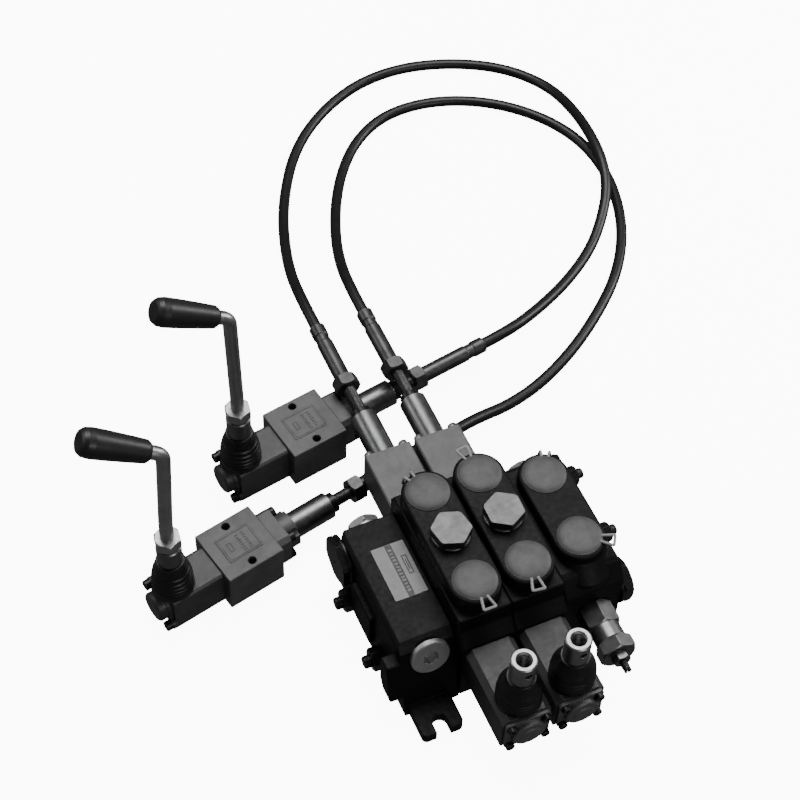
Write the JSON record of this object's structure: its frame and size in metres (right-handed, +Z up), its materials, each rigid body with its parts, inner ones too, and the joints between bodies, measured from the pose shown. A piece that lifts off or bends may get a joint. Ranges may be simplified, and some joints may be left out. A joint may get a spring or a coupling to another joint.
{
  "type": "sectional hydraulic directional control valve",
  "caption": "Stacked-section hydraulic directional valve with capped ports, lever boxes and remote lever stations on push-pull cables.",
  "frame": {"origin": "centre of the base on the mounting plane, at the joint between the two working sections", "axes": "+X along the stack of sections to the inlet section, +Y along the spools to the cable ends, +Z up, out of the ports"},
  "size_m": [0.5965, 0.7233, 0.2582],
  "materials": {
    "casting": "satin black paint",
    "black_steel": "black oxide",
    "seal_rubber": "matte",
    "label": "printed satin foil",
    "zinc": "bright zinc plate",
    "dark_zinc": "dull dark plate",
    "ground_steel": "ground",
    "cap_plastic": "grey, fine texture",
    "grey_aluminium": "cast, satin grey",
    "station_grey": "satin grey",
    "boot_rubber": "matte",
    "knob_plastic": "gloss black",
    "cable_jacket": "satin black"
  },
  "bodies": {
    "valve": {"box_screws": "black_steel", "cable_a": "cable_jacket", "cable_b": "cable_jacket", "cable_hubs": "black_steel", "cable_nuts": "dark_zinc", "cable_sleeves": "dark_zinc", "check_plugs": "zinc", "check_spring_1": "ground_steel", "check_spring_2": "ground_steel", "conduit_tubes": "zinc", "end_section": "casting", "inlet_section": "casting", "lever_boots": "boot_rubber", "lever_box_1": "grey_aluminium", "lever_box_2": "grey_aluminium", "name_plate": "label", "pivot_pins": "ground_steel", "rear_blocks": "grey_aluminium", "rear_plugs": "zinc", "relief_body": "zinc", "relief_spring": "ground_steel", "section_seals": "seal_rubber", "side_plugs": "black_steel", "socket_plug": "zinc", "station_block_far": "station_grey", "station_block_near": "station_grey", "station_boxes": "casting", "station_flanges": "station_grey", "tie_rod_nuts": "black_steel", "tie_rods": "black_steel", "valve_end_plates": "grey_aluminium", "work_section_1": "casting", "work_section_2": "casting"},
    "check_poppet_1": {"check_poppet_1": "ground_steel"},
    "spool_1": {"spool_1": "ground_steel", "spool_hardware_1": "ground_steel", "centring_spring_1": "ground_steel"},
    "valve_lever_1": {"lever_socket_1": "zinc"},
    "check_poppet_2": {"check_poppet_2": "ground_steel"},
    "spool_2": {"spool_2": "ground_steel", "spool_hardware_2": "ground_steel", "centring_spring_2": "ground_steel"},
    "valve_lever_2": {"lever_socket_2": "zinc"},
    "station_lever_near": {"station_socket_near": "zinc", "lever_rod_near": "zinc", "knob_near": "knob_plastic"},
    "slider_near": {"slider_near": "ground_steel"},
    "station_lever_far": {"station_socket_far": "zinc", "lever_rod_far": "zinc", "knob_far": "knob_plastic"},
    "slider_far": {"slider_far": "ground_steel"},
    "port_cap_a1": {"port_cap_a1": "cap_plastic"},
    "port_cap_b1": {"port_cap_b1": "cap_plastic"},
    "port_cap_a2": {"port_cap_a2": "cap_plastic"},
    "port_cap_b2": {"port_cap_b2": "cap_plastic"},
    "port_cap_p": {"port_cap_p": "cap_plastic"},
    "port_cap_t": {"port_cap_t": "cap_plastic"},
    "relief_seat": {"relief_seat": "ground_steel"},
    "relief_adjuster": {"relief_adjuster": "black_steel"},
    "relief_poppet": {"relief_poppet": "ground_steel"}
  },
  "joints": [
    {"name": "lever_far", "type": "hinge", "parent": "valve", "child": "station_lever_far", "pos_m": [-0.12746, 0.17411, 0.0405], "axis": [-0.1719, 0.9851, 0], "range_deg": [-20, 20], "stiffness_Nm_per_rad": 8},
    {"name": "slider_far", "type": "slide", "parent": "valve", "child": "slider_far", "axis": [0.9851, 0.1719, 0], "range_m": [-0.00706, 0.00706]},
    {"name": "spool_1", "type": "slide", "parent": "valve", "child": "spool_1", "axis": [0, 1, 0], "range_m": [-0.00706, 0.00706]},
    {"name": "valve_lever_1", "type": "hinge", "parent": "valve", "child": "valve_lever_1", "pos_m": [-0.022, -0.124, 0.068], "axis": [1, 0, 0], "range_deg": [-20.3, 20.3]},
    {"name": "lever_near", "type": "hinge", "parent": "valve", "child": "station_lever_near", "pos_m": [-0.21916, 0.08237, 0.0405], "axis": [-0.2147, 0.9767, 0], "range_deg": [-20, 20], "stiffness_Nm_per_rad": 8},
    {"name": "slider_near", "type": "slide", "parent": "valve", "child": "slider_near", "axis": [0.9767, 0.2147, 0], "range_m": [-0.00706, 0.00706]},
    {"name": "spool_2", "type": "slide", "parent": "valve", "child": "spool_2", "axis": [0, 1, 0], "range_m": [-0.00706, 0.00706]},
    {"name": "valve_lever_2", "type": "hinge", "parent": "valve", "child": "valve_lever_2", "pos_m": [0.022, -0.124, 0.068], "axis": [1, 0, 0], "range_deg": [-20.3, 20.3]},
    {"name": "check_poppet_1", "type": "slide", "parent": "valve", "child": "check_poppet_1", "axis": [0, 0, 1], "range_m": [0, 0.004], "stiffness_N_per_m": 150, "springref_m": -0.006, "deforming": ["check_spring_1"]},
    {"name": "check_poppet_2", "type": "slide", "parent": "valve", "child": "check_poppet_2", "axis": [0, 0, 1], "range_m": [0, 0.004], "stiffness_N_per_m": 150, "springref_m": -0.006, "deforming": ["check_spring_2"]},
    {"name": "relief_adjuster_turn", "type": "hinge", "parent": "relief_seat", "child": "relief_adjuster", "pos_m": [0.07, -0.12, 0.047], "axis": [0, 1, 0], "range_deg": [0, 720]},
    {"name": "relief_seat_slide", "type": "slide", "parent": "valve", "child": "relief_seat", "axis": [0, 1, 0], "range_m": [0, 0.002], "deforming": ["relief_spring"]},
    {"name": "relief_poppet_slide", "type": "slide", "parent": "valve", "child": "relief_poppet", "axis": [0, -1, 0], "range_m": [0, 0.003], "stiffness_N_per_m": 2000, "springref_m": -0.004},
    {"name": "port_cap_a1_lift", "type": "slide", "parent": "valve", "child": "port_cap_a1", "axis": [0, 0, 1], "range_m": [0, 0.02]},
    {"name": "port_cap_b1_lift", "type": "slide", "parent": "valve", "child": "port_cap_b1", "axis": [0, 0, 1], "range_m": [0, 0.02]},
    {"name": "port_cap_a2_lift", "type": "slide", "parent": "valve", "child": "port_cap_a2", "axis": [0, 0, 1], "range_m": [0, 0.02]},
    {"name": "port_cap_b2_lift", "type": "slide", "parent": "valve", "child": "port_cap_b2", "axis": [0, 0, 1], "range_m": [0, 0.02]},
    {"name": "port_cap_p_lift", "type": "slide", "parent": "valve", "child": "port_cap_p", "axis": [0, 0, 1], "range_m": [0, 0.02]},
    {"name": "port_cap_t_lift", "type": "slide", "parent": "valve", "child": "port_cap_t", "axis": [0, 0, 1], "range_m": [0, 0.02]}
  ],
  "couplings": [
    {"joint": "slider_far", "follows": "lever_far", "m_per_rad": -0.02},
    {"joint": "spool_1", "follows": "lever_far", "m_per_rad": 0.02},
    {"joint": "valve_lever_1", "follows": "lever_far", "ratio": 1},
    {"joint": "slider_near", "follows": "lever_near", "m_per_rad": -0.02},
    {"joint": "spool_2", "follows": "lever_near", "m_per_rad": 0.02},
    {"joint": "valve_lever_2", "follows": "lever_near", "ratio": 1},
    {"joint": "relief_adjuster_turn", "follows": "relief_seat_slide", "rad_per_m": 6283.1}
  ]
}
